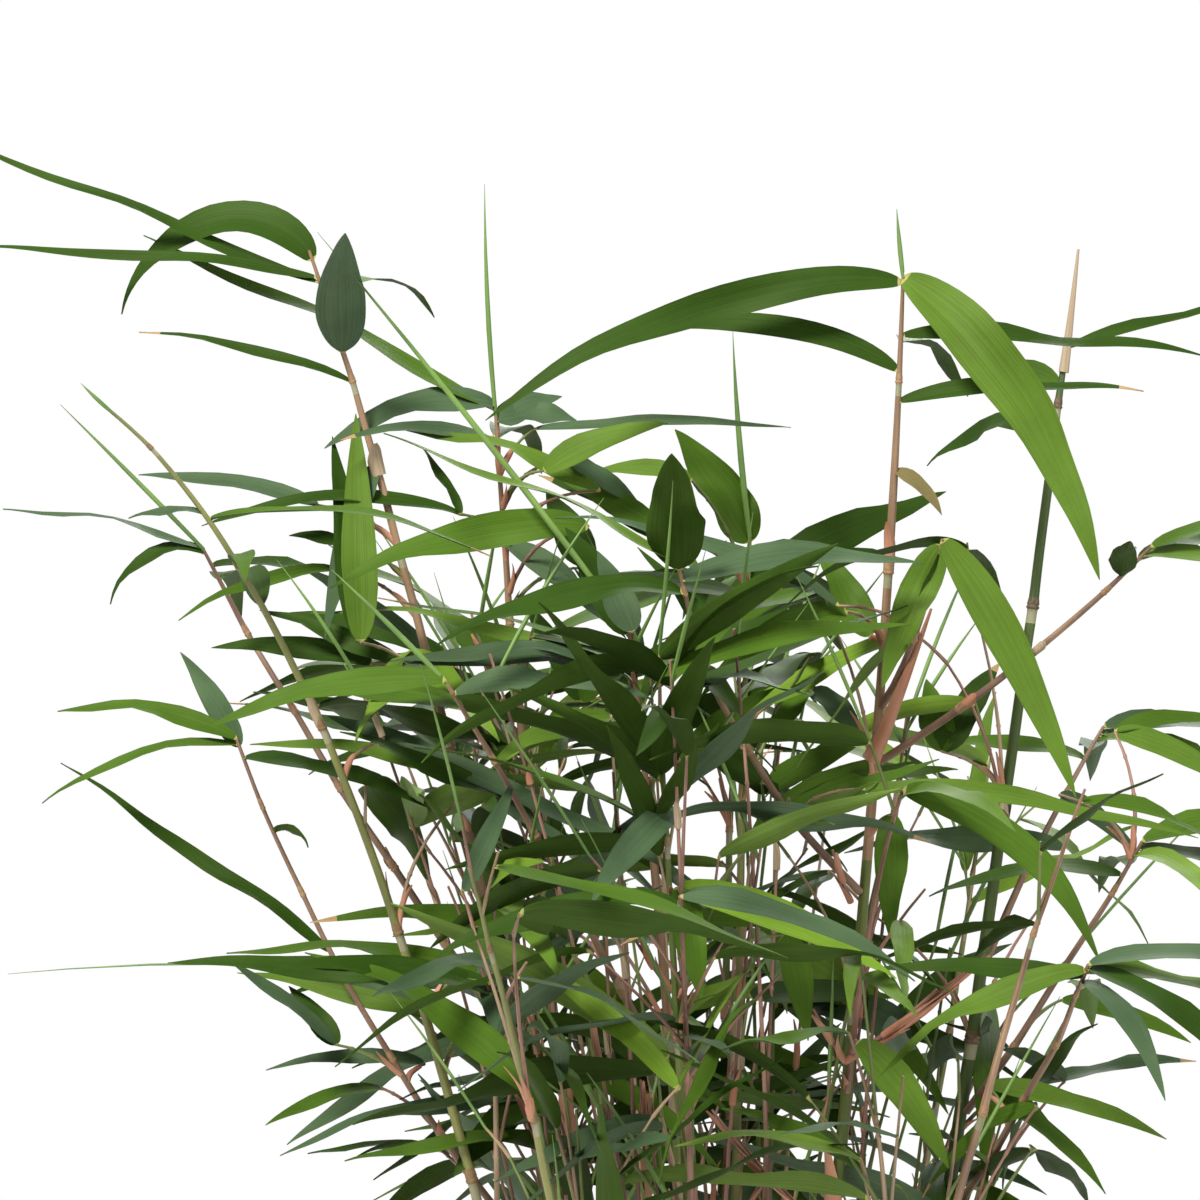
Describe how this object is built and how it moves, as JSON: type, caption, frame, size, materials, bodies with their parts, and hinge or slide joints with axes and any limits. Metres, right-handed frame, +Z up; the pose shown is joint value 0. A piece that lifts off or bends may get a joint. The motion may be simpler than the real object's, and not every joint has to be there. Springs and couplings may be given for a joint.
{
  "type": "potted fargesia rufa",
  "caption": "Clump-forming bamboo with slim leaning canes, side boughs and airy masses of narrow arching leaves, in a round tapered nursery pot filled with soil.",
  "frame": {"origin": "centre of the pot's flat underside", "axes": "+Z up, -Y towards the pictured side, +X to the right as seen from there"},
  "size_m": [0.5083, 0.5322, 0.754],
  "materials": {
    "pot": "matt moulded",
    "soil": "crumbly and dry",
    "cane": "smooth satin",
    "twig": "smooth satin",
    "leaves": "soft sheen"
  },
  "bodies": {
    "root": {"bough_01": "twig", "bough_02": "twig", "bough_03": "twig", "bough_04": "twig", "bough_05": "twig", "bough_06": "twig", "bough_07": "twig", "bough_08": "twig", "bough_09": "twig", "culm_01": "cane", "culm_02": "cane", "culm_03": "cane", "culm_04": "cane", "culm_05": "cane", "culm_06": "cane", "culm_07": "cane", "culm_08": "cane", "culm_09": "cane", "culm_10": "cane", "culm_11": "cane", "culm_12": "cane", "culm_13": "cane", "leaves_bough_01": "leaves", "leaves_bough_02": "leaves", "leaves_bough_03": "leaves", "leaves_bough_04": "leaves", "leaves_bough_05": "leaves", "leaves_bough_06": "leaves", "leaves_bough_07": "leaves", "leaves_bough_08": "leaves", "leaves_bough_09": "leaves", "leaves_culm_01": "leaves", "leaves_culm_02": "leaves", "leaves_culm_03": "leaves", "leaves_culm_04": "leaves", "leaves_culm_05": "leaves", "leaves_culm_06": "leaves", "leaves_culm_07": "leaves", "leaves_culm_08": "leaves", "leaves_culm_09": "leaves", "leaves_culm_10": "leaves", "leaves_culm_11": "leaves", "leaves_culm_12": "leaves", "leaves_culm_13": "leaves", "leaves_side_01": "leaves", "leaves_side_02": "leaves", "leaves_side_03": "leaves", "leaves_side_04": "leaves", "leaves_side_05": "leaves", "leaves_side_06": "leaves", "leaves_side_07": "leaves", "leaves_side_08": "leaves", "leaves_side_09": "leaves", "leaves_side_10": "leaves", "leaves_side_11": "leaves", "leaves_side_12": "leaves", "leaves_side_13": "leaves", "leaves_side_14": "leaves", "pot": "pot", "soil": "soil"}
  },
  "joints": []
}
